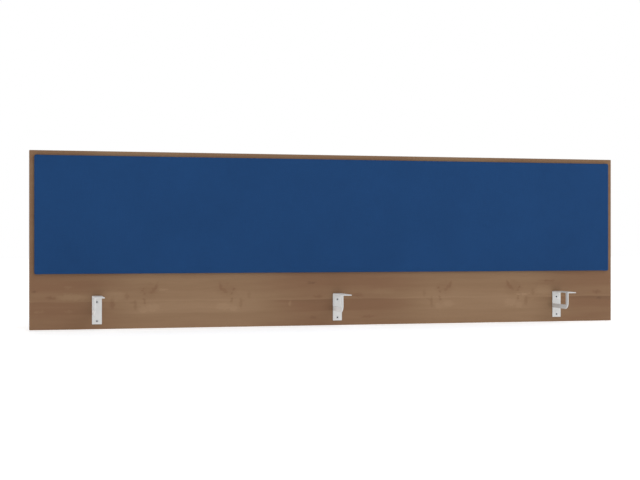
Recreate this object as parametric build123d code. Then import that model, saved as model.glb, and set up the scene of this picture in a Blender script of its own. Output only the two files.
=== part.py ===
from build123d import *
import math
import os

# Desk privacy panel: a wood-decor board with an upholstered pad on its front,
# hung behind a desk on three folded steel brackets that screw up into the desktop.
# Millimetres.  X runs along the panel, the front faces -Y, +Z is up.
# Origin: the middle of the middle bracket's two desk screw holes, on the face
# that the desktop rests on.

# Cuts run past open faces by OVERRUN; faces closer than TOUCHING are the same face
OVERRUN = 1.0
TOUCHING = 0.01

# Board
BOARD_LENGTH = 1590.0
BOARD_HEIGHT = 450.0
BOARD_THICKNESS = 18.0
EDGE_BAND_THICKNESS = 2.0
EDGE_ROUNDING = 1.5

# Place of the board against the brackets
TAB_TOP_ABOVE_BOARD_BOTTOM = 84.5
BOARD_FRONT_Y = 55.0
BOARD_BOTTOM_Z = -TAB_TOP_ABOVE_BOARD_BOTTOM
BOARD_TOP_Z = BOARD_BOTTOM_Z + BOARD_HEIGHT

# Pad
PAD_SIDE_BORDER = 12.0
PAD_TOP_BORDER = 12.0
PAD_BOTTOM_ABOVE_BOARD_BOTTOM = 140.0
PAD_LENGTH = BOARD_LENGTH - 2 * PAD_SIDE_BORDER
PAD_HEIGHT = BOARD_HEIGHT - PAD_TOP_BORDER - PAD_BOTTOM_ABOVE_BOARD_BOTTOM
PAD_MIDDLE_Z = BOARD_BOTTOM_Z + PAD_BOTTOM_ABOVE_BOARD_BOTTOM + PAD_HEIGHT / 2
PAD_STAND_OFF = 1.5
BACKING_THICKNESS = 3.0
FOAM_THICKNESS = 3.7
CLOTH_THICKNESS = 0.8
PAD_ROUNDING = 3.2
PAD_FRONT_ROUNDING_SHARE = 0.98
TURN_IN_WIDTH = 22.0
BACKING_REAR_Y = BOARD_FRONT_Y - PAD_STAND_OFF
BACKING_FRONT_Y = BACKING_REAR_Y - BACKING_THICKNESS
FOAM_FRONT_Y = BACKING_FRONT_Y - FOAM_THICKNESS
PAD_FRONT_Y = FOAM_FRONT_Y - CLOTH_THICKNESS

# Push-in clips: two rows of six
CLIP_COLUMNS = 6
CLIP_ROWS = 2
CLIP_SPACING_X = 290.0
CLIP_SPACING_Z = 220.0
SOCKET_FLANGE_RADIUS = 9.0
SOCKET_OUTER_RADIUS = 5.0
SOCKET_BORE_RADIUS = 3.2
SOCKET_DEPTH = 12.0
SOCKET_END_WALL = 0.8
STUD_HEAD_RADIUS = 7.0
STUD_HEAD_THICKNESS = 1.0
STUD_CORE_RADIUS = 2.2
STUD_BARB_RADIUS = 3.0
STUD_BARBS = 4
STUD_BARB_PITCH = 2.2
STUD_BARB_FLARE = 0.5
STUD_FIRST_BARB = 1.0
STUD_TIP_RADIUS = 1.2
STUD_TIP_LENGTH = 1.2

# Staples along the turned-in cloth
STAPLE_CROWN = 10.0
STAPLE_WIRE = 0.6
STAPLE_BITE = 2.0
STAPLE_SPACING = 90.0
STAPLE_INSET = 14.0

# Brackets
BRACKET_X = {"left": -628.5, "middle": 0.0, "right": 628.5}
SHEET = 2.5
BRACKET_WIDTH = 24.5
PLATE_HEIGHT = 72.0
TAB_LENGTH = 99.0
OUTER_BEND_RADIUS = 3.0
CORNER_RADIUS = 1.0
EDGE_BREAK = 0.3
LONG_EDGE = 4.0
WINDOW_FRONT_DEPTH = 86.0
WINDOW_BOTTOM = 34.0
WINDOW_CORNER_RADIUS = 1.5
WEB_BOTTOM = 45.5
WEB_CORNER_RADIUS = 18.0
DESK_HOLE_RADIUS = 2.75
DESK_HOLE_SPACING = 50.0

# Board screws
SCREW_BELOW_TOP = (16.0, 64.0)
SCREW_LENGTH = 16.0
SCREW_HEAD_RADIUS = 4.5
SCREW_NECK_RADIUS = 1.7
SCREW_THREAD_RADIUS = 2.25
SCREW_THREAD_PITCH = 1.8
SCREW_HEAD_DEPTH = 2.1
SCREW_NECK_TAPER = 0.6
SCREW_POINT_LENGTH = 2.5
SCREW_HOLE_CLEARANCE = 0.5
RECESS_RADIUS = 1.65
RECESS_LOBE_RADIUS = 0.6
RECESS_LOBES = 6
RECESS_DEPTH = 1.8


def box_between(low, high):
    """A box from its lowest corner to its highest corner."""
    size = [high[i] - low[i] for i in range(3)]
    middle = [(high[i] + low[i]) / 2 for i in range(3)]
    return Pos(*middle) * Box(*size)


def turned(profile, x, y, z):
    """A solid of revolution about an axis along Y through (x, y, z).

    The profile is a list of (radius, distance behind y) points.
    """
    plane = Plane(origin=(x, y, z), x_dir=(1, 0, 0), z_dir=(0, 0, 1))
    face = plane * make_face(Polyline(*profile, close=True))
    return revolve(face, Axis((x, y, z), (0, 1, 0)))


def rod(x, z, front_y, rear_y, radius):
    """A round rod along Y."""
    middle = (front_y + rear_y) / 2
    return Pos(x, middle, z) * Rot(90, 0, 0) * Cylinder(radius, abs(rear_y - front_y))


def clip_places():
    """(x, z) of every push-in clip."""
    places = []
    for column in range(CLIP_COLUMNS):
        for row in range(CLIP_ROWS):
            x = (column - (CLIP_COLUMNS - 1) / 2) * CLIP_SPACING_X
            z = PAD_MIDDLE_Z + (row - (CLIP_ROWS - 1) / 2) * CLIP_SPACING_Z
            places.append((x, z))
    return places


def screw_places():
    """(x, z) of every board screw."""
    return [(x, -below) for x in BRACKET_X.values() for below in SCREW_BELOW_TOP]


def make_board():
    """The drilled board and its four edge bands."""
    half = BOARD_LENGTH / 2
    rear = BOARD_FRONT_Y + BOARD_THICKNESS
    whole = box_between((-half, BOARD_FRONT_Y, BOARD_BOTTOM_Z), (half, rear, BOARD_TOP_Z))
    whole = fillet(whole.edges(), EDGE_ROUNDING)
    band = EDGE_BAND_THICKNESS
    inner_left = -half + band
    inner_right = half - band
    inner_bottom = BOARD_BOTTOM_Z + band
    inner_top = BOARD_TOP_Z - band
    front = BOARD_FRONT_Y - OVERRUN
    back = rear + OVERRUN
    screw_hole_end = BOARD_FRONT_Y + SCREW_LENGTH - SHEET + SCREW_HOLE_CLEARANCE

    core = whole & box_between((inner_left, front, inner_bottom), (inner_right, back, inner_top))
    for x, z in clip_places():
        core -= rod(x, z, front, BOARD_FRONT_Y + SOCKET_DEPTH, SOCKET_OUTER_RADIUS)
    for x, z in screw_places():
        core -= rod(x, z, front, screw_hole_end, SCREW_THREAD_RADIUS)

    top = whole & box_between((-half, front, inner_top), (half, back, BOARD_TOP_Z))
    bottom = whole & box_between((-half, front, BOARD_BOTTOM_Z), (half, back, inner_bottom))
    left = whole & box_between((-half, front, inner_bottom), (inner_left, back, inner_top))
    right = whole & box_between((inner_right, front, inner_bottom), (half, back, inner_top))
    return {
        "board_core": core,
        "edge_band_top": top,
        "edge_band_bottom": bottom,
        "edge_band_left": left,
        "edge_band_right": right,
    }


def pad_block(inset, front_y, rear_y, rounding):
    """A pad-shaped block with rounded front edges, inset from the pad's outline."""
    half_x = PAD_LENGTH / 2 - inset
    half_z = PAD_HEIGHT / 2 - inset
    block = box_between((-half_x, front_y, PAD_MIDDLE_Z - half_z),
                        (half_x, rear_y, PAD_MIDDLE_Z + half_z))
    block = fillet(block.edges().filter_by(Axis.Y), rounding)
    return fillet(block.faces().sort_by(Axis.Y)[0].edges(), rounding * PAD_FRONT_ROUNDING_SHARE)


def make_pad():
    """Hardboard core, foam and the wrapped cloth cover."""
    cloth = CLOTH_THICKNESS
    inner_rounding = PAD_ROUNDING - cloth
    core_and_foam = pad_block(cloth, FOAM_FRONT_Y, BACKING_REAR_Y, inner_rounding)
    half = BOARD_LENGTH / 2
    low_z = BOARD_BOTTOM_Z
    foam_side = box_between((-half, PAD_FRONT_Y, low_z), (half, BACKING_FRONT_Y, BOARD_TOP_Z))
    core_side = box_between((-half, BACKING_FRONT_Y, low_z), (half, BACKING_REAR_Y, BOARD_TOP_Z))
    foam = core_and_foam & foam_side
    backing = core_and_foam & core_side
    for x, z in clip_places():
        backing -= rod(x, z, BACKING_FRONT_Y, BACKING_REAR_Y, STUD_BARB_RADIUS)
        backing -= rod(x, z, BACKING_FRONT_Y, BACKING_FRONT_Y + STUD_HEAD_THICKNESS,
                       STUD_HEAD_RADIUS)

    cover = pad_block(0, PAD_FRONT_Y, BACKING_REAR_Y + cloth, PAD_ROUNDING) - core_and_foam
    open_x = PAD_LENGTH / 2 - TURN_IN_WIDTH
    open_z = PAD_HEIGHT / 2 - TURN_IN_WIDTH
    cover -= box_between((-open_x, BACKING_REAR_Y, PAD_MIDDLE_Z - open_z),
                         (open_x, BOARD_FRONT_Y, PAD_MIDDLE_Z + open_z))
    return {"pad_backing": backing, "pad_foam": foam, "pad_cover": cover}


def make_clips():
    """Barbed studs held in the pad core, and the sockets that they push into."""
    studs = []
    sockets = []
    head_y = BACKING_FRONT_Y
    neck = STUD_HEAD_THICKNESS
    shoulder = BACKING_THICKNESS
    for x, z in clip_places():
        profile = [(0, 0), (STUD_HEAD_RADIUS, 0), (STUD_HEAD_RADIUS, neck),
                   (STUD_BARB_RADIUS, neck), (STUD_BARB_RADIUS, shoulder)]
        behind = shoulder + STUD_FIRST_BARB
        for _ in range(STUD_BARBS):
            profile.append((STUD_CORE_RADIUS, behind))
            profile.append((STUD_BARB_RADIUS, behind + STUD_BARB_FLARE))
            behind += STUD_BARB_PITCH
        profile.append((STUD_CORE_RADIUS, behind))
        profile.append((STUD_TIP_RADIUS, behind + STUD_TIP_LENGTH))
        profile.append((0, behind + STUD_TIP_LENGTH))
        studs.append(turned(profile, x, head_y, z))

        flange = rod(x, z, BOARD_FRONT_Y - PAD_STAND_OFF, BOARD_FRONT_Y, SOCKET_FLANGE_RADIUS)
        sleeve = rod(x, z, BOARD_FRONT_Y, BOARD_FRONT_Y + SOCKET_DEPTH, SOCKET_OUTER_RADIUS)
        bore_end = BOARD_FRONT_Y + SOCKET_DEPTH - SOCKET_END_WALL
        bore = rod(x, z, BOARD_FRONT_Y - PAD_STAND_OFF, bore_end, SOCKET_BORE_RADIUS)
        sockets.append(flange + sleeve - bore)
    return {"clip_studs": Compound(children=studs), "clip_sockets": Compound(children=sockets)}


def staple_places():
    """(x, z, along X) of every staple round the pad's back."""
    places = []
    run_x = PAD_LENGTH / 2 - STAPLE_INSET
    run_z = PAD_HEIGHT / 2 - STAPLE_INSET
    count_x = int((2 * run_x - STAPLE_SPACING) // STAPLE_SPACING) + 1
    count_z = int((2 * run_z - STAPLE_SPACING) // STAPLE_SPACING) + 1
    for i in range(count_x):
        x = (i - (count_x - 1) / 2) * STAPLE_SPACING
        places.append((x, PAD_MIDDLE_Z + run_z, True))
        places.append((x, PAD_MIDDLE_Z - run_z, True))
    for i in range(count_z):
        z = PAD_MIDDLE_Z + (i - (count_z - 1) / 2) * STAPLE_SPACING
        places.append((-run_x, z, False))
        places.append((run_x, z, False))
    return places


def staple(x, z, along_x):
    """A wire staple: its crown lies on the cloth and its legs go into the core."""
    half = STAPLE_CROWN / 2
    wire = STAPLE_WIRE
    cloth_y = BACKING_REAR_Y + CLOTH_THICKNESS
    crown = box_between((-half, cloth_y, -wire / 2), (half, cloth_y + wire, wire / 2))
    body = crown
    for side in (-1, 1):
        leg_x = side * (half - wire / 2)
        body += box_between((leg_x - wire / 2, BACKING_REAR_Y - STAPLE_BITE, -wire / 2),
                            (leg_x + wire / 2, cloth_y + wire, wire / 2))
    if not along_x:
        body = Rot(0, 90, 0) * body
    return Pos(x, 0, z) * body


def top_rear_edges(shape):
    """The edges where a bracket's flat top meets the board."""
    return [edge for edge in shape.edges().filter_by(Axis.X)
            if abs(edge.center().Y - BOARD_FRONT_Y) < TOUCHING and abs(edge.center().Z) < TOUCHING]


def make_bracket(x):
    """One folded steel bracket: plate on the board, tab under the desktop, side web."""
    half = BRACKET_WIDTH / 2
    board_y = BOARD_FRONT_Y
    tip_y = board_y - TAB_LENGTH

    plate = box_between((-half, board_y - SHEET, -PLATE_HEIGHT), (half, board_y, 0))
    plate = fillet(plate.edges().filter_by(Axis.Y).group_by(Axis.Z)[0], CORNER_RADIUS)
    tab = box_between((-half, tip_y, -SHEET), (half, board_y, 0))
    tab = fillet(tab.edges().filter_by(Axis.Z).group_by(Axis.Y)[0], CORNER_RADIUS)
    folded = plate + tab
    folded = fillet(top_rear_edges(folded), OUTER_BEND_RADIUS)

    # Side web: a front strip and a lower bar round an open window
    web = box_between((-half, tip_y, -WEB_BOTTOM), (-half + SHEET, board_y, 0))
    web = fillet(top_rear_edges(web), OUTER_BEND_RADIUS)
    lower_front = web.edges().filter_by(Axis.X).group_by(Axis.Z)[0].sort_by(Axis.Y)[0]
    web = fillet(lower_front, WEB_CORNER_RADIUS)
    window = box_between((-half - OVERRUN, board_y - WINDOW_FRONT_DEPTH, -WINDOW_BOTTOM),
                         (-half + SHEET + OVERRUN, board_y - SHEET, -SHEET))
    window = fillet(window.edges().filter_by(Axis.X), WINDOW_CORNER_RADIUS)
    bracket = folded + (web - window)
    long_fold = [edge for edge in bracket.edges().filter_by(Axis.Y)
                 if abs(edge.center().X + half) < TOUCHING and abs(edge.center().Z) < TOUCHING]
    bracket = fillet(long_fold, CORNER_RADIUS)

    # Broken edges all round, but not in the inside corner between web and plate
    rims = []
    for edge in bracket.edges():
        middle = edge.center()
        in_web_face = abs(middle.X + half - SHEET) < TOUCHING
        in_plate_face = abs(middle.Y - board_y + SHEET) < TOUCHING
        if edge.length > LONG_EDGE and not (in_web_face and in_plate_face):
            rims.append(edge)
    bracket = fillet(rims, EDGE_BREAK)

    # Plain desk screw holes and countersunk board screw holes
    for side in (-1, 1):
        y = side * DESK_HOLE_SPACING / 2
        bracket -= Pos(0, y, -SHEET / 2) * Cylinder(DESK_HOLE_RADIUS, SHEET + 2 * OVERRUN)
    for below in SCREW_BELOW_TOP:
        hole = [(0, 0), (SCREW_HEAD_RADIUS, 0), (SCREW_THREAD_RADIUS, SCREW_HEAD_DEPTH),
                (SCREW_THREAD_RADIUS, SHEET), (0, SHEET)]
        bracket -= turned(hole, 0, board_y - SHEET, -below)
    return Pos(x, 0, 0) * bracket


def screw(x, z):
    """A countersunk chipboard screw with a six-lobe recess, head flush with the plate."""
    head_y = BOARD_FRONT_Y - SHEET
    profile = [(0, 0), (SCREW_HEAD_RADIUS, 0), (SCREW_THREAD_RADIUS, SCREW_HEAD_DEPTH),
               (SCREW_THREAD_RADIUS, SHEET), (SCREW_NECK_RADIUS, SHEET + SCREW_NECK_TAPER)]
    behind = SHEET + SCREW_NECK_TAPER
    while behind + SCREW_THREAD_PITCH < SCREW_LENGTH - SCREW_POINT_LENGTH:
        profile.append((SCREW_THREAD_RADIUS, behind + SCREW_THREAD_PITCH / 2))
        profile.append((SCREW_NECK_RADIUS, behind + SCREW_THREAD_PITCH))
        behind += SCREW_THREAD_PITCH
    profile.append((0, SCREW_LENGTH))
    body = turned(profile, x, head_y, z)
    recess = rod(x, z, head_y - OVERRUN, head_y + RECESS_DEPTH, RECESS_RADIUS)
    for i in range(RECESS_LOBES):
        turn = 2 * math.pi * i / RECESS_LOBES
        recess += rod(x + RECESS_RADIUS * math.cos(turn), z + RECESS_RADIUS * math.sin(turn),
                      head_y - OVERRUN, head_y + RECESS_DEPTH, RECESS_LOBE_RADIUS)
    return body - recess


def cut_staple_slots(shape):
    """Slots for the staple legs, through the turned-in cloth and into the pad core."""
    wire = STAPLE_WIRE / 2
    reach = STAPLE_CROWN / 2 - wire
    for side in (-1, 1):
        for x, z, along_x in staple_places():
            leg_x = x + (side * reach if along_x else 0)
            leg_z = z + (0 if along_x else side * reach)
            shape -= box_between((leg_x - wire, BACKING_REAR_Y - STAPLE_BITE, leg_z - wire),
                                 (leg_x + wire, BOARD_FRONT_Y, leg_z + wire))
    return shape


nodes = {}
nodes.update(make_board())
nodes.update(make_pad())
nodes.update(make_clips())
nodes["pad_backing"] = cut_staple_slots(nodes["pad_backing"])
nodes["pad_cover"] = cut_staple_slots(nodes["pad_cover"])
nodes["pad_staples"] = Compound(children=[staple(*place) for place in staple_places()])
for name, x in BRACKET_X.items():
    nodes["bracket_" + name] = make_bracket(x)
nodes["bracket_screws"] = Compound(children=[screw(x, z) for x, z in screw_places()])

os.makedirs("parts", exist_ok=True)
for name, shape in nodes.items():
    export_step(shape, "parts/" + name + ".step")
    box = shape.bounding_box()
    print(name, round(shape.volume / 1000, 2), "cm3",
          [round(v, 1) for v in box.min], [round(v, 1) for v in box.max])
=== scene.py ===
import math

import bpy
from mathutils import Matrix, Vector


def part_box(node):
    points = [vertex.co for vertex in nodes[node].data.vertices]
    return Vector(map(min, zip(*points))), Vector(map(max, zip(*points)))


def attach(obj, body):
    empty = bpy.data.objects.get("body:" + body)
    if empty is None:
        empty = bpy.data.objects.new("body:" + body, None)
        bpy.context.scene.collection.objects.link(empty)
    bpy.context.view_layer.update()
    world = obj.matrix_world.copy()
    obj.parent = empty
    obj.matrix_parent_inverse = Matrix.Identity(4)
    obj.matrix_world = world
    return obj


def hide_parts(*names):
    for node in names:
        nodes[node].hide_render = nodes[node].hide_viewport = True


# Desk privacy panel.  Metres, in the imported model's frame: X along the panel,
# the padded front faces -Y, +Z up.

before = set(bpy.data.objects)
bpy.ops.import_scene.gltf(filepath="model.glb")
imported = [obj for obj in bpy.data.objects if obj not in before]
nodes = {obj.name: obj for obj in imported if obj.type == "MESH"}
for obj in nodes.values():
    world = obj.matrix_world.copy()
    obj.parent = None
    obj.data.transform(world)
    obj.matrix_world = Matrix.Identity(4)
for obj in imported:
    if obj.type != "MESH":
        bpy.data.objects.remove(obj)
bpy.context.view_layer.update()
board_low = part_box("edge_band_bottom")[0]
board_middle_y = sum(corner.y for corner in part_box("board_core")) / 2

# Camera, placed from the board's lower left front corner
CAMERA_LEFT = 0.0731
CAMERA_IN_FRONT = 3.2252
CAMERA_ABOVE = 0.2253
CAMERA_TURN = 14.283
CAMERA_LENS = 70.93

# Floor and light
FLOOR_HALF_SIZE = 12.0
FLOOR_DROP = 0.0002
FLOOR_GLOW = 0.44
KEY_PLACE = (1.15, -2.6, 2.2)
KEY_AIM = (0.2, 0, 0)
KEY_SIZE = (2.2, 1.6)
KEY_POWER = 16.0
FILL_PLACE = (-3.5, 0.0, 1.2)
FILL_AIM = (-0.3, 0, 0)
FILL_SIZE = (0.25, 0.25)
FILL_POWER = 48.0
UPPER_LEFT_SURROUNDINGS = 0.15

# Board decor: its tones
WOOD_DARK = (0.205, 0.110, 0.060, 1)
WOOD_MIDDLE = (0.243, 0.146, 0.081, 1)
WOOD_LIGHT = (0.302, 0.191, 0.112, 1)
WOOD_PORE = (0.120, 0.068, 0.040, 1)

# Grain, from soft bands to fine lines: scale along, scale across, weight
GRAIN = (
    (2.4, 30.0, 0.55),
    (7.0, 130.0, 0.32),
    (24.0, 1000.0, 0.16),
)
GRAIN_TONE = 0.37
GRAIN_WAVE = 0.030
PORE_SCALES = (130.0, 2600.0)

# Slow light and dark along the board: its period and where it is lightest.
# It is regular low down and drifts high up.
SLOW_PERIOD = 0.79
SLOW_CREST = 0.41
REGULAR_BELOW = 0.03
DRIFTING_ABOVE = 0.12
SLOW_DRIFT = 14.0

# Long straight lines in the figure, by height.  The pad hides the high ones in front.
UPPER_SEAM = -0.0155
LOWER_SEAM = -0.0465
HIGH_SEAMS = (0.071, 0.117, 0.186, 0.241, 0.312)
SEAM_WOBBLE = 0.007
SEAM_HALF_WIDTH = 0.001
LOWER_SEAM_HALF_WIDTH = 0.0015
PALE_LINE_HEIGHT = 0.007
DARK_LINE_HEIGHT = 0.012
UPPER_SEAM_CONTRAST = 0.26
HIGH_SEAM_CONTRAST = 0.11

# Marks in the figure: along, height, half length, half height, strength (dark below 0).
# A knot is a group of marks: KNOT_GROUPS has each group's middle, and -1 where it is mirrored.
KNOT_MARKS = (
    (0.000, 0.010, 0.024, 0.016, -0.14),
    (-0.017, 0.013, 0.003, 0.003, -0.40),
    (-0.012, 0.003, 0.004, 0.003, -0.34),
    (-0.013, -0.012, 0.003, 0.003, -0.38),
    (-0.012, -0.019, 0.003, 0.004, -0.38),
    (0.004, 0.007, 0.006, 0.004, -0.26),
    (0.011, 0.013, 0.005, 0.005, -0.26),
    (0.017, 0.020, 0.004, 0.007, -0.32),
    (0.020, 0.028, 0.003, 0.005, -0.20),
    (0.002, 0.029, 0.007, 0.003, -0.12),
    (-0.036, -0.025, 0.004, 0.013, -0.30),
    (-0.043, -0.018, 0.007, 0.003, -0.18),
    (-0.057, -0.002, 0.004, 0.009, -0.20),
    (0.010, -0.031, 0.016, 0.009, 0.30),
    (-0.016, -0.037, 0.010, 0.008, 0.24),
)
KNOT_GROUPS = (
    (-0.496, 0.0, 1),
    (-0.295, 0.0, -1),
    (0.300, 0.0, 1),
    (0.502, 0.0, -1),
    (-0.640, 0.155, -1),
    (0.110, 0.262, 1),
    (0.690, 0.213, 1),
)
STREAKS = (
    (-0.783, 0.012, 0.007, 0.003, -0.56),
    (-0.742, -0.005, 0.013, 0.003, -0.45),
    (-0.700, 0.021, 0.012, 0.003, 0.22),
    (-0.070, 0.028, 0.011, 0.003, -0.45),
    (-0.052, -0.008, 0.012, 0.004, -0.38),
    (0.056, -0.006, 0.012, 0.004, -0.38),
    (0.600, 0.029, 0.024, 0.002, -0.41),
    (0.752, -0.003, 0.012, 0.004, -0.49),
    (0.757, -0.021, 0.008, 0.003, -0.34),
    (-0.066, -0.063, 0.009, 0.003, -0.34),
    (0.085, -0.063, 0.018, 0.003, -0.27),
    (-0.590, -0.020, 0.006, 0.014, -0.35),
    (0.530, -0.0075, 0.022, 0.0015, 0.60),
    (-0.460, 0.014, 0.012, 0.002, 0.30),
    (-0.128, -0.024, 0.003, 0.008, 0.40),
    (-0.772, -0.040, 0.012, 0.002, 0.30),
    (-0.700, -0.040, 0.014, 0.002, 0.26),
    (-0.690, -0.004, 0.038, 0.008, 0.34),
    (-0.586, 0.001, 0.027, 0.012, 0.28),
    (0.592, 0.002, 0.026, 0.012, 0.28),
    (0.130, 0.004, 0.030, 0.008, 0.12),
)

# Strength left at a mark's half size, and how far a noise moves its outline in all
MARK_EDGE = 0.45
RAGGED_ALONG = 0.011
RAGGED_UP = 0.017

# Grain lines swing out of a knot's way, within these half sizes
SWING = 0.010
SWING_HALF_LENGTH = 0.045
SWING_HALF_HEIGHT = 0.022

# The back has the front's marks moved along the board and fainter
BACK_SHIFT = 0.37
BACK_STRENGTH = 0.6
SIDES_BLEND = 0.004

# Pad cover: cloth, wrapped shape, corner pleats and how far it puffs up
CLOTH_BLUE = (0.0125, 0.0545, 0.1625, 1)
THREAD_PITCH = 0.0011
COVER_THICKNESS = 0.0008
COVER_CORNER = 0.004
CORNER_STEPS = 6
COVER_ROUNDING = 0.0032
ROUNDING_STEPS = 5
COVER_REAR_ROUNDING = 0.001
REAR_ROUNDING_STEPS = 3
TURN_IN = 0.022
TURN_IN_HALFWAY = 0.008
GRID_STEP = 0.008
PLEAT_REACH = 0.010
PLEAT_STEP = 0.0006
PLEAT_HEIGHT = 0.0005
PLEAT_ROUND_EDGE = 0.0012
PUFF_FRAMES = 20
PUFF_PRESSURE = 4.0
CROWN_LIMIT = 0.0009

CRISP_EDGE_DEGREES = 32


class Shader:
    """A material's node tree, with short calls for the nodes used here."""

    def __init__(self, name, color, roughness, metallic=0.0):
        self.material = bpy.data.materials.new(name)
        self.material.use_nodes = True
        self.tree = self.material.node_tree
        self.surface = self.tree.nodes["Principled BSDF"]
        self.fix("Base Color", color)
        self.fix("Roughness", roughness)
        self.fix("Metallic", metallic)

    def fix(self, name, value):
        """Gives an input of the surface a constant value."""
        self.surface.inputs[name].default_value = value

    def add(self, kind, inputs=(), **settings):
        node = self.tree.nodes.new(kind)
        for key, value in settings.items():
            setattr(node, key, value)
        for key, value in dict(inputs).items():
            self.feed(node.inputs[key], value)
        return node

    def feed(self, socket, value):
        if isinstance(value, bpy.types.NodeSocket):
            self.tree.links.new(value, socket)
        else:
            socket.default_value = value

    def axes(self):
        """X, Y and Z of the point in the model's frame."""
        place = self.add("ShaderNodeTexCoord").outputs["Object"]
        split = self.add("ShaderNodeSeparateXYZ", {"Vector": place})
        return split.outputs["X"], split.outputs["Y"], split.outputs["Z"]

    def math(self, operation, a, b=0.0, c=0.0, clamp=False):
        node = self.add("ShaderNodeMath", {0: a, 1: b, 2: c}, operation=operation, use_clamp=clamp)
        return node.outputs[0]

    def vector(self, x, y, z=0.0):
        return self.add("ShaderNodeCombineXYZ", {"X": x, "Y": y, "Z": z}).outputs[0]

    def noise(self, vector, scale=1.0, detail=2.0, roughness=0.5):
        inputs = {"Vector": vector, "Scale": scale, "Detail": detail, "Roughness": roughness}
        return self.add("ShaderNodeTexNoise", inputs).outputs["Fac"]

    def drawn_out(self, x, z, scale_x, scale_z, seed=0.0, detail=2.0):
        """Noise in the x and z plane, with its own scale each way."""
        place = self.vector(self.math("MULTIPLY", x, scale_x), self.math("MULTIPLY", z, scale_z), seed)
        return self.noise(place, detail=detail)

    def shift(self, value, noise, amount):
        """The value moved up or down by a noise, by half the amount at most."""
        return self.math("MULTIPLY_ADD", self.math("SUBTRACT", noise, 0.5), amount, value)

    def from_middle(self, x, z, middle, half_sizes):
        """How far up from an oval's middle, and the distance squared, both in half sizes."""
        along = self.math("MULTIPLY_ADD", x, 1 / half_sizes[0], -middle[0] / half_sizes[0])
        up = self.math("MULTIPLY_ADD", z, 1 / half_sizes[1], -middle[1] / half_sizes[1])
        squared = self.math("MULTIPLY_ADD", along, along, self.math("MULTIPLY", up, up))
        return up, squared

    def stretch(self, value, low, high, to_low=0.0, to_high=1.0):
        """The value mapped from one range to another, held inside the second."""
        inputs = {"Value": value, 1: low, 2: high, 3: to_low, 4: to_high}
        return self.add("ShaderNodeMapRange", inputs, interpolation_type="SMOOTHSTEP").outputs[0]

    def span(self, value, low, high):
        """0 at low, 1 at high, straight in between and held outside."""
        return self.add("ShaderNodeMapRange", {"Value": value, 1: low, 2: high}).outputs[0]

    def mix(self, factor, first, second, blend="MIX"):
        node = self.add("ShaderNodeMix", data_type="RGBA", blend_type=blend)
        self.feed(node.inputs[0], factor)
        self.feed(node.inputs[6], first)
        self.feed(node.inputs[7], second)
        return node.outputs[2]

    def color(self, value):
        self.feed(self.surface.inputs["Base Color"], value)

    def rough(self, value):
        self.feed(self.surface.inputs["Roughness"], value)

    def bump(self, height, distance, strength=1.0):
        inputs = {"Height": height, "Distance": distance, "Strength": strength}
        normal = self.add("ShaderNodeBump", inputs).outputs[0]
        self.feed(self.surface.inputs["Normal"], normal)


def figure_marks(shader, x, z):
    """Knots, curls, streaks and pale patches of the decor, added up."""
    ragged_x = shader.drawn_out(x, z, 110.0, 190.0, detail=4.0)
    ragged_z = shader.drawn_out(x, z, 95.0, 230.0, seed=7.3, detail=4.0)
    x = shader.shift(x, ragged_x, RAGGED_ALONG)
    z = shader.shift(z, ragged_z, RAGGED_UP)
    marks = list(STREAKS)
    for group_x, group_z, turn in KNOT_GROUPS:
        for along, height, half_x, half_z, strength in KNOT_MARKS:
            marks.append((group_x + turn * along, group_z + height, half_x, half_z, strength))
    total = 0.0
    for mark_x, mark_z, half_x, half_z, strength in marks:
        squared = shader.from_middle(x, z, (mark_x, mark_z), (half_x, half_z))[1]
        spread = shader.math("POWER", MARK_EDGE, shader.math("MULTIPLY", squared, squared))
        total = shader.math("MULTIPLY_ADD", spread, strength, total)
    return total


def grain_swing(shader, x, z, across):
    """The grain lines bend round each knot."""
    for group_x, group_z, _ in KNOT_GROUPS:
        up, squared = shader.from_middle(x, z, (group_x, group_z), (SWING_HALF_LENGTH, SWING_HALF_HEIGHT))
        spread = shader.math("POWER", 0.5, squared)
        across = shader.math("MULTIPLY_ADD", shader.math("MULTIPLY", spread, up), -SWING, across)
    return across


def slow_tone(shader, x, z):
    """Light and dark that change slowly along the board, from -1 to 1."""
    phase = shader.math("MULTIPLY_ADD", x, 2 * math.pi / SLOW_PERIOD,
                        -2 * math.pi * SLOW_CREST / SLOW_PERIOD)
    drift = shader.drawn_out(x, z, 2.5, 9.0, seed=2.2)
    amount = shader.stretch(z, REGULAR_BELOW, DRIFTING_ABOVE, 0.0, SLOW_DRIFT)
    phase = shader.shift(phase, drift, amount)
    slow = shader.stretch(shader.math("COSINE", phase), -0.9, 0.7, -1.0, 1.0)
    return shader.math("MULTIPLY", slow, shader.stretch(z, REGULAR_BELOW, DRIFTING_ABOVE, 1.0, 0.55))


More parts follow.
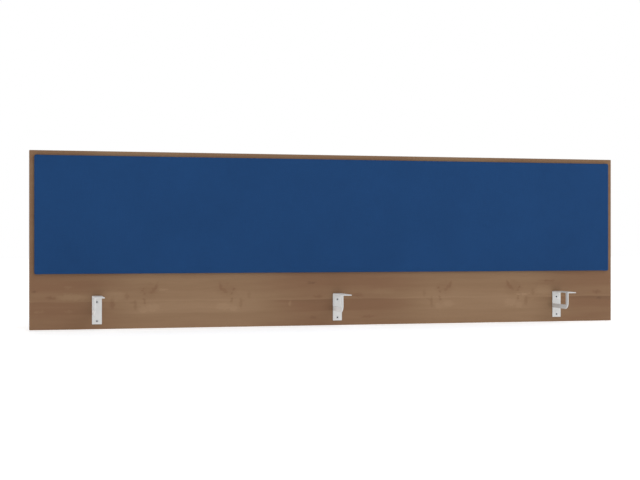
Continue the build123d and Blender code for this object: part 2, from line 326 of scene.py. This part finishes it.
def seam_tone(shader, x, z, slow):
    """The slow light and dark, cut by the long lines of the figure."""
    wobble = shader.noise(shader.vector(shader.math("MULTIPLY", x, 9.0), 0.3))
    bent = shader.shift(z, wobble, SEAM_WOBBLE)
    present = shader.noise(shader.vector(shader.math("MULTIPLY", x, 5.0), 4.1))
    present = shader.stretch(present, 0.34, 0.60, 0.25, 1.0)
    above_upper = shader.stretch(bent, UPPER_SEAM - SEAM_HALF_WIDTH, UPPER_SEAM + SEAM_HALF_WIDTH)
    above_lower = shader.stretch(bent, LOWER_SEAM - LOWER_SEAM_HALF_WIDTH,
                                 LOWER_SEAM + LOWER_SEAM_HALF_WIDTH)
    between = shader.math("SUBTRACT", above_lower, above_upper)
    tone = shader.math("MULTIPLY", slow, shader.math("MULTIPLY_ADD", between, 0.15, 0.22))
    lift = shader.math("MULTIPLY", above_upper, shader.stretch(bent, 0.000, 0.022, 0.07, -0.12))
    tone = shader.math("ADD", tone, lift)

    # Pale just above the upper line and dark just below it, here and there
    pale = shader.stretch(bent, UPPER_SEAM, UPPER_SEAM + PALE_LINE_HEIGHT, UPPER_SEAM_CONTRAST, 0.0)
    pale = shader.math("MULTIPLY", above_upper, pale)
    dark = shader.stretch(bent, UPPER_SEAM - DARK_LINE_HEIGHT, UPPER_SEAM, 0.0, UPPER_SEAM_CONTRAST)
    dark = shader.math("MULTIPLY", between, dark)
    dark = shader.math("MULTIPLY", dark, shader.stretch(slow, -0.8, 0.6, 1.0, 0.35))
    line = shader.math("MULTIPLY", shader.math("SUBTRACT", pale, dark), present)
    tone = shader.math("ADD", tone, line)

    # Above the high lines it is lighter and darker in turn
    change = HIGH_SEAM_CONTRAST
    for height in HIGH_SEAMS:
        step = shader.stretch(bent, height - SEAM_HALF_WIDTH, height + SEAM_HALF_WIDTH, 0.0, change)
        tone = shader.math("ADD", tone, shader.math("MULTIPLY", step, present))
        change = -change
    return tone


def board_figure(shader, x, y, z, tone):
    """Adds the slow tone, the long lines, knots and streaks to the grain."""
    tone = shader.math("ADD", tone, seam_tone(shader, x, z, slow_tone(shader, x, z)))
    front = board_middle_y - SIDES_BLEND
    back = board_middle_y + SIDES_BLEND
    strength = shader.stretch(y, front, back, 1.0, BACK_STRENGTH)
    moved = shader.math("ADD", x, shader.stretch(y, front, back, 0.0, BACK_SHIFT))
    return shader.math("MULTIPLY_ADD", figure_marks(shader, moved, z), strength, tone)


def decor(name, upright=False):
    """Walnut printed decor; on the end bands its grain runs up the band."""
    shader = Shader(name, WOOD_MIDDLE, 0.50)
    shader.fix("Specular IOR Level", 0.15)
    x, y, z = shader.axes()
    along, across = (z, x) if upright else (x, z)
    across = shader.math("MULTIPLY_ADD", y, 0.8, across)
    wave = shader.drawn_out(along, across, 2.2, 9.0, detail=1.0)
    across = shader.shift(across, wave, GRAIN_WAVE)
    if not upright:
        across = grain_swing(shader, x, z, across)
    tone = GRAIN_TONE
    for scale_along, scale_across, weight in GRAIN:
        grain = shader.drawn_out(along, across, scale_along, scale_across)
        tone = shader.shift(tone, grain, weight)
    if not upright:
        tone = board_figure(shader, x, y, z, tone)
    wood = shader.mix(shader.span(tone, 0.0, 0.45), WOOD_DARK, WOOD_MIDDLE)
    wood = shader.mix(shader.span(tone, 0.45, 1.0), wood, WOOD_LIGHT)
    wood = shader.mix(shader.span(tone, -0.05, -0.9), wood, WOOD_PORE)

    # Short dark pores along the grain
    pores = shader.drawn_out(along, across, *PORE_SCALES, detail=1.0)
    pore = shader.stretch(pores, 0.62, 0.72)
    shader.color(shader.mix(shader.math("MULTIPLY", pore, 0.22), wood, WOOD_PORE))
    shader.rough(shader.stretch(tone, 0.0, 1.0, 0.54, 0.46))
    shader.bump(shader.math("MULTIPLY", pore, -1.0), 0.00004, 0.6)
    return shader.material


def weave_height(shader, x, y, z):
    """Height of a plain weave, from 0 to 1: each thread goes over one and under one."""
    threads = []
    for side in (x, z):
        count = shader.math("DIVIDE", shader.math("MULTIPLY_ADD", y, 0.9, side), THREAD_PITCH)
        whole = shader.math("FLOOR", count)
        part = shader.math("SUBTRACT", count, whole)
        round_top = shader.math("SINE", shader.math("MULTIPLY", part, math.pi))
        threads.append((whole, round_top))
    (warp_index, warp_round), (weft_index, weft_round) = threads
    weft_over = shader.math("MODULO", shader.math("ADD", warp_index, weft_index), 2.0)
    weft_over = shader.math("ABSOLUTE", weft_over)
    warp_top = shader.math("MULTIPLY", warp_round, shader.math("MULTIPLY_ADD", weft_round, 0.35, 0.65))
    weft_top = shader.math("MULTIPLY", weft_round, shader.math("MULTIPLY_ADD", warp_round, 0.35, 0.65))
    choice = shader.math("MULTIPLY", shader.math("SUBTRACT", weft_top, warp_top), weft_over)
    return shader.math("ADD", warp_top, choice)


def cloth(name):
    """Close plain weave in blue yarn, with slubs, fibres and slow cloudiness; the weave's low points are
    painted darker, as painted shade.
    """
    shader = Shader(name, CLOTH_BLUE, 0.88)
    shader.fix("Sheen Weight", 0.08)
    shader.fix("Sheen Roughness", 0.45)
    shader.fix("Sheen Tint", (0.25, 0.50, 1.0, 1))
    shader.fix("Specular IOR Level", 0.10)
    x, y, z = shader.axes()
    height = weave_height(shader, x, y, z)
    fibre = shader.noise(shader.vector(x, y, z), scale=5200.0)
    slub_x = shader.drawn_out(x, z, 30.0, 900.0)
    slub_z = shader.drawn_out(x, z, 900.0, 30.0)
    slub = shader.math("MULTIPLY", shader.math("ADD", slub_x, slub_z), 0.5)
    cloudy = shader.noise(shader.vector(x, y, z), scale=9.0, detail=3.0)
    # Yarn tone from fibres, slubs and cloudiness, plus painted shade: the weave's low points are coloured
    # darker
    depth = shader.math("MULTIPLY_ADD", height, 0.34, shader.math("MULTIPLY", fibre, 0.22))
    depth = shader.math("ADD", depth, shader.math("MULTIPLY", slub, 0.30))
    depth = shader.math("ADD", depth, shader.math("MULTIPLY", cloudy, 0.14))
    low = tuple(c * 0.70 for c in CLOTH_BLUE[:3]) + (1,)
    high = tuple(c * 1.22 for c in CLOTH_BLUE[:3]) + (1,)
    shader.color(shader.mix(shader.stretch(depth, 0.28, 0.78), low, high))
    shader.rough(shader.stretch(fibre, 0.2, 0.8, 0.80, 0.95))
    relief = shader.math("ADD", height, shader.math("MULTIPLY", fibre, 0.35))
    shader.bump(relief, 0.00022, 0.8)
    return shader.material


def powder_coat(name):
    """Satin light-grey powder coat with a fine orange-peel surface."""
    shader = Shader(name, (0.66, 0.66, 0.65, 1), 0.5)
    shader.fix("Specular IOR Level", 0.2)
    x, y, z = shader.axes()
    place = shader.vector(x, y, z)
    peel = shader.noise(place, scale=900.0, detail=2.0)
    speck = shader.noise(place, scale=3500.0, detail=1.0)
    cloudy = shader.noise(place, scale=45.0, detail=2.0)
    shade = shader.math("MULTIPLY_ADD", speck, 0.4, shader.math("MULTIPLY", cloudy, 0.6))
    shade = shader.stretch(shade, 0.3, 0.7)
    shader.color(shader.mix(shade, (0.63, 0.63, 0.62, 1), (0.69, 0.69, 0.68, 1)))
    shader.rough(shader.stretch(peel, 0.3, 0.7, 0.45, 0.56))
    shader.bump(peel, 0.00003, 0.6)
    return shader.material


def zinc(name, face_y=None):
    """Bright zinc plate; behind face_y, at the bottom of a recess, it is painted near-black as painted
    shade.
    """
    shader = Shader(name, (0.56, 0.57, 0.58, 1), 0.32, 1.0)
    x, y, z = shader.axes()
    place = shader.vector(x, y, z)
    bloom = shader.noise(place, scale=700.0, detail=3.0)
    plate = shader.mix(bloom, (0.48, 0.49, 0.50, 1), (0.66, 0.66, 0.65, 1))
    if face_y is not None:
        # Painted shade: the recess bottom behind the face is coloured near-black
        inside = shader.stretch(y, face_y + 0.0001, face_y + 0.0007)
        plate = shader.mix(inside, plate, (0.015, 0.015, 0.016, 1))
    shader.color(plate)
    shader.rough(shader.stretch(bloom, 0.3, 0.7, 0.25, 0.42))
    shader.bump(bloom, 0.00002, 0.4)
    return shader.material


def moulded(name, color, scale, rough_low, rough_high, depth):
    """A plain moulded, pressed or foamed stuff with a grain of the given scale."""
    shader = Shader(name, color, rough_low)
    x, y, z = shader.axes()
    grain = shader.noise(shader.vector(x, y, z), scale=scale, detail=3.0)
    low = tuple(c * 0.82 for c in color[:3]) + (1,)
    high = tuple(min(c * 1.14, 1.0) for c in color[:3]) + (1,)
    shader.color(shader.mix(shader.stretch(grain, 0.3, 0.7), low, high))
    shader.rough(shader.stretch(grain, 0.3, 0.7, rough_low, rough_high))
    shader.bump(grain, depth, 0.7)
    return shader.material


def paint(material, *names):
    """Gives CAD nodes a better material."""
    for name in names:
        nodes[name].data.materials.clear()
        nodes[name].data.materials.append(material)


def smooth_by_angle(piece, degrees):
    """Smooth shading, with edges sharper than the angle kept crisp."""
    piece.data.shade_smooth()
    with bpy.context.temp_override(object=piece, active_object=piece, selected_objects=[piece],
                                   selected_editable_objects=[piece]):
        bpy.ops.object.shade_smooth_by_angle(angle=math.radians(degrees))


def even_steps(low, high, step, extra=()):
    """Evenly spaced numbers from low to high, with extra ones added."""
    count = max(2, round((high - low) / step))
    steps = [low + (high - low) * i / count for i in range(count + 1)]
    return sorted(steps + list(extra))


def cover_stations(half_x, half_z):
    """Points round the pad: (x, z) on the flat front's rim and the way outward."""
    pleats = [side * (half_x - PLEAT_REACH - gap) for side in (-1, 1) for gap in (0.0, PLEAT_STEP)]
    xs = even_steps(-half_x, half_x, GRID_STEP, pleats)
    zs = even_steps(-half_z, half_z, GRID_STEP)
    arc = [math.pi / 2 * i / CORNER_STEPS for i in range(1, CORNER_STEPS)]
    stations = [(x, half_z, 0, 1) for x in xs]
    stations += [(half_x, half_z, math.sin(a), math.cos(a)) for a in arc]
    stations += [(half_x, z, 1, 0) for z in reversed(zs)]
    stations += [(half_x, -half_z, math.cos(a), -math.sin(a)) for a in arc]
    stations += [(x, -half_z, 0, -1) for x in reversed(xs)]
    stations += [(-half_x, -half_z, -math.sin(a), -math.cos(a)) for a in arc]
    stations += [(-half_x, z, -1, 0) for z in zs]
    stations += [(-half_x, half_z, -math.cos(a), math.sin(a)) for a in arc]
    return xs, zs, stations


def cover_profile(front_y, rear_y):
    """(inset, y) from the flat front round the edge to the turn-in's cut edge."""
    profile = []
    for i in range(ROUNDING_STEPS + 1):
        a = math.pi / 2 * i / ROUNDING_STEPS
        profile.append((COVER_ROUNDING * (1 - math.sin(a)), front_y + COVER_ROUNDING * (1 - math.cos(a))))
    profile.append((0.0, (front_y + rear_y + COVER_ROUNDING) / 2))
    for i in range(REAR_ROUNDING_STEPS + 1):
        a = math.pi / 2 * i / REAR_ROUNDING_STEPS
        profile.append((COVER_REAR_ROUNDING * (1 - math.cos(a)),
                        rear_y - COVER_REAR_ROUNDING * (1 - math.sin(a))))
    profile.append((TURN_IN_HALFWAY, rear_y))
    profile.append((TURN_IN, rear_y))
    return profile


def ring_point(station, half_x, half_z, inset):
    """Where a station's ring passes, at a given inset from the pad's outline."""
    x, z, out_x, out_z = station
    if inset <= COVER_CORNER:
        reach = COVER_CORNER - inset
        ring_x = x + out_x * reach
        ring_z = z + out_z * reach
    else:
        limit_x = half_x + COVER_CORNER - inset
        limit_z = half_z + COVER_CORNER - inset
        ring_x = math.copysign(limit_x, x) if out_x else max(-limit_x, min(limit_x, x))
        ring_z = math.copysign(limit_z, z) if out_z else max(-limit_z, min(limit_z, z))
    doubled = abs(x) > half_x - PLEAT_REACH - 0.0001 and inset < PLEAT_ROUND_EDGE and out_x == 0
    if doubled:
        ring_z += math.copysign(PLEAT_HEIGHT, z)
    return ring_x, ring_z


def cover_mesh(low, high):
    """The wrapped cover's outer face: a front grid, and rings that go round the edge."""
    middle = (low + high) / 2
    half_x = (high.x - low.x) / 2 - COVER_CORNER
    half_z = (high.z - low.z) / 2 - COVER_CORNER
    xs, zs, stations = cover_stations(half_x, half_z)
    points = [(middle.x + x, low.y, middle.z + z) for z in zs for x in xs]
    row = len(xs)
    faces = []
    for j in range(len(zs) - 1):
        for i in range(row - 1):
            a = j * row + i
            faces.append((a, a + 1, a + row + 1, a + row))

    # The first ring is the grid's own rim
    place = {(round(p[0], 6), round(p[2], 6)): i for i, p in enumerate(points)}
    ring = [place[(round(middle.x + s[0], 6), round(middle.z + s[1], 6))] for s in stations]
    count = len(stations)
    for inset, y in cover_profile(low.y, high.y):
        new_ring = range(len(points), len(points) + count)
        for station in stations:
            x, z = ring_point(station, half_x, half_z, inset)
            points.append((middle.x + x, y, middle.z + z))
        for i in range(count):
            a, b = ring[i], ring[(i + 1) % count]
            c, d = new_ring[(i + 1) % count], new_ring[i]
            faces.append((a, b, c, d) if a != b else (a, c, d))
        ring = new_ring
    mesh = bpy.data.meshes.new("pad_cloth_wrap")
    mesh.from_pydata(points, [], faces)
    mesh.validate()
    mesh.update()
    return mesh


def puff(piece, held):
    """Lets the stretched cloth rise a little off the foam, by cloth simulation."""
    pins = piece.vertex_groups.new(name="held")
    pins.add(held, 1.0, "REPLACE")
    rest = [v.co.copy() for v in piece.data.vertices]
    modifier = piece.modifiers.new("Cloth", "CLOTH")
    settings = modifier.settings
    settings.quality = 5
    settings.mass = 0.15
    settings.vertex_group_mass = "held"
    settings.tension_stiffness = 40
    settings.compression_stiffness = 40
    settings.shear_stiffness = 20
    settings.bending_stiffness = 2
    settings.use_pressure = True
    settings.uniform_pressure_force = PUFF_PRESSURE
    settings.effector_weights.gravity = 0
    modifier.point_cache.frame_start = 1
    modifier.point_cache.frame_end = PUFF_FRAMES
    scene = bpy.context.scene
    for step in range(1, PUFF_FRAMES + 1):
        scene.frame_set(step)
    graph = bpy.context.evaluated_depsgraph_get()
    moved = [v.co.copy() for v in piece.evaluated_get(graph).data.vertices]
    piece.modifiers.remove(modifier)
    scene.frame_set(1)
    for vertex, start, end in zip(piece.data.vertices, rest, moved):
        shift = end - start
        if shift.length > 1e-9:
            shift *= CROWN_LIMIT * math.tanh(shift.length / CROWN_LIMIT) / shift.length
        vertex.co = start + shift
    piece.data.update()


def make_cover():
    """The blue cover: wrapped round foam and core, turned in behind."""
    low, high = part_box("pad_cover")
    piece = bpy.data.objects.new("pad_cloth_wrap", cover_mesh(low, high))
    bpy.context.scene.collection.objects.link(piece)
    side_y = low.y + COVER_ROUNDING - 0.00001
    held = [v.index for v in piece.data.vertices if v.co.y > side_y]
    puff(piece, held)
    thickness = piece.modifiers.new("Cloth thickness", "SOLIDIFY")
    thickness.thickness = COVER_THICKNESS
    thickness.offset = -1
    rounding = piece.modifiers.new("Smooth cloth", "SUBSURF")
    rounding.levels = 1
    rounding.render_levels = 1
    piece.data.shade_smooth()
    piece.data.materials.append(cloth("blue weave"))
    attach(piece, "root")
    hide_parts("pad_cover")


def make_camera():
    """A level camera in front of the board's left end, turned to the right."""
    data = bpy.data.cameras.new("camera")
    data.lens = CAMERA_LENS
    data.sensor_width = 36
    camera = bpy.data.objects.new("camera", data)
    camera.location = (board_low.x - CAMERA_LEFT, board_low.y - CAMERA_IN_FRONT,
                       board_low.z + CAMERA_ABOVE)
    camera.rotation_euler = (math.radians(90), 0, math.radians(-CAMERA_TURN))
    bpy.context.scene.collection.objects.link(camera)
    bpy.context.scene.camera = camera


def make_area_light(name, place, aim, size, power):
    """A rectangular light at a place, facing the point it is aimed at."""
    data = bpy.data.lights.new(name, "AREA")
    data.shape = "RECTANGLE"
    data.size, data.size_y = size
    data.energy = power
    light = bpy.data.objects.new(name, data)
    light.location = place
    light.rotation_euler = (Vector(aim) - Vector(place)).to_track_quat("-Z", "Y").to_euler()
    bpy.context.scene.collection.objects.link(light)
    return light


def make_floor():
    """Plain white floor under the board."""
    size = FLOOR_HALF_SIZE
    z = board_low.z - FLOOR_DROP
    mesh = bpy.data.meshes.new("floor")
    mesh.from_pydata([(-size, -size, z), (size, -size, z), (size, size, z), (-size, size, z)], [],
                     [(0, 1, 2, 3)])
    floor = bpy.data.objects.new("floor", mesh)
    bpy.context.scene.collection.objects.link(floor)
    shader = Shader("white floor", (0.9, 0.9, 0.9, 1), 0.9)
    shader.fix("Emission Color", (1, 1, 1, 1))
    shader.fix("Emission Strength", FLOOR_GLOW)
    floor.data.materials.append(shader.material)


def make_surroundings():
    """White all round, dimmer only high up on the left."""
    world = bpy.data.worlds.new("studio")
    world.use_nodes = True
    tree = world.node_tree
    background = tree.nodes["Background"]
    background.inputs["Color"].default_value = (1, 1, 1, 1)
    direction = tree.nodes.new("ShaderNodeTexCoord")
    split = tree.nodes.new("ShaderNodeSeparateXYZ")
    tree.links.new(direction.outputs["Generated"], split.inputs["Vector"])
    dimming = tree.nodes.new("ShaderNodeMath")
    dimming.operation = "MULTIPLY"
    for slot, (axis, start, full) in enumerate((("X", -0.05, -0.45), ("Z", 0.18, 0.38))):
        part = tree.nodes.new("ShaderNodeMapRange")
        part.inputs["From Min"].default_value = start
        part.inputs["From Max"].default_value = full
        tree.links.new(split.outputs[axis], part.inputs["Value"])
        tree.links.new(part.outputs["Result"], dimming.inputs[slot])
    strength = tree.nodes.new("ShaderNodeMapRange")
    strength.inputs["To Min"].default_value = 1.0
    strength.inputs["To Max"].default_value = UPPER_LEFT_SURROUNDINGS
    tree.links.new(dimming.outputs[0], strength.inputs["Value"])
    tree.links.new(strength.outputs["Result"], background.inputs["Strength"])
    bpy.context.scene.world = world


def make_lights():
    """A soft light from the front right, and a fill that lights two brackets only."""
    make_area_light("key", KEY_PLACE, KEY_AIM, KEY_SIZE, KEY_POWER)
    fill = make_area_light("bracket fill", FILL_PLACE, FILL_AIM, FILL_SIZE, FILL_POWER)
    lit = bpy.data.collections.new("lit by bracket fill")
    for name in ("bracket_left", "bracket_middle"):
        lit.objects.link(nodes[name])
    fill.light_linking.receiver_collection = lit


make_camera()
make_floor()
make_surroundings()
make_lights()

board_decor = decor("walnut decor")
paint(board_decor, "board_core", "edge_band_top", "edge_band_bottom")
paint(decor("walnut decor on end bands", upright=True), "edge_band_left", "edge_band_right")
paint(powder_coat("light grey powder coat"), "bracket_left", "bracket_middle", "bracket_right")
# The screw heads' recesses get painted shade behind their face
paint(zinc("zinc plate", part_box("bracket_screws")[0].y), "bracket_screws")
paint(zinc("staple wire"), "pad_staples")
paint(moulded("hardboard", (0.18, 0.10, 0.05, 1), 900.0, 0.6, 0.75, 0.00008), "pad_backing")
paint(moulded("foam", (0.55, 0.55, 0.53, 1), 1400.0, 0.85, 0.95, 0.0003), "pad_foam")
paint(moulded("nylon", (0.60, 0.60, 0.58, 1), 2200.0, 0.40, 0.50, 0.00002), "clip_studs", "clip_sockets")
for node in nodes.values():
    smooth_by_angle(node, CRISP_EDGE_DEGREES)
make_cover()

bpy.context.scene.view_settings.view_transform = "Standard"
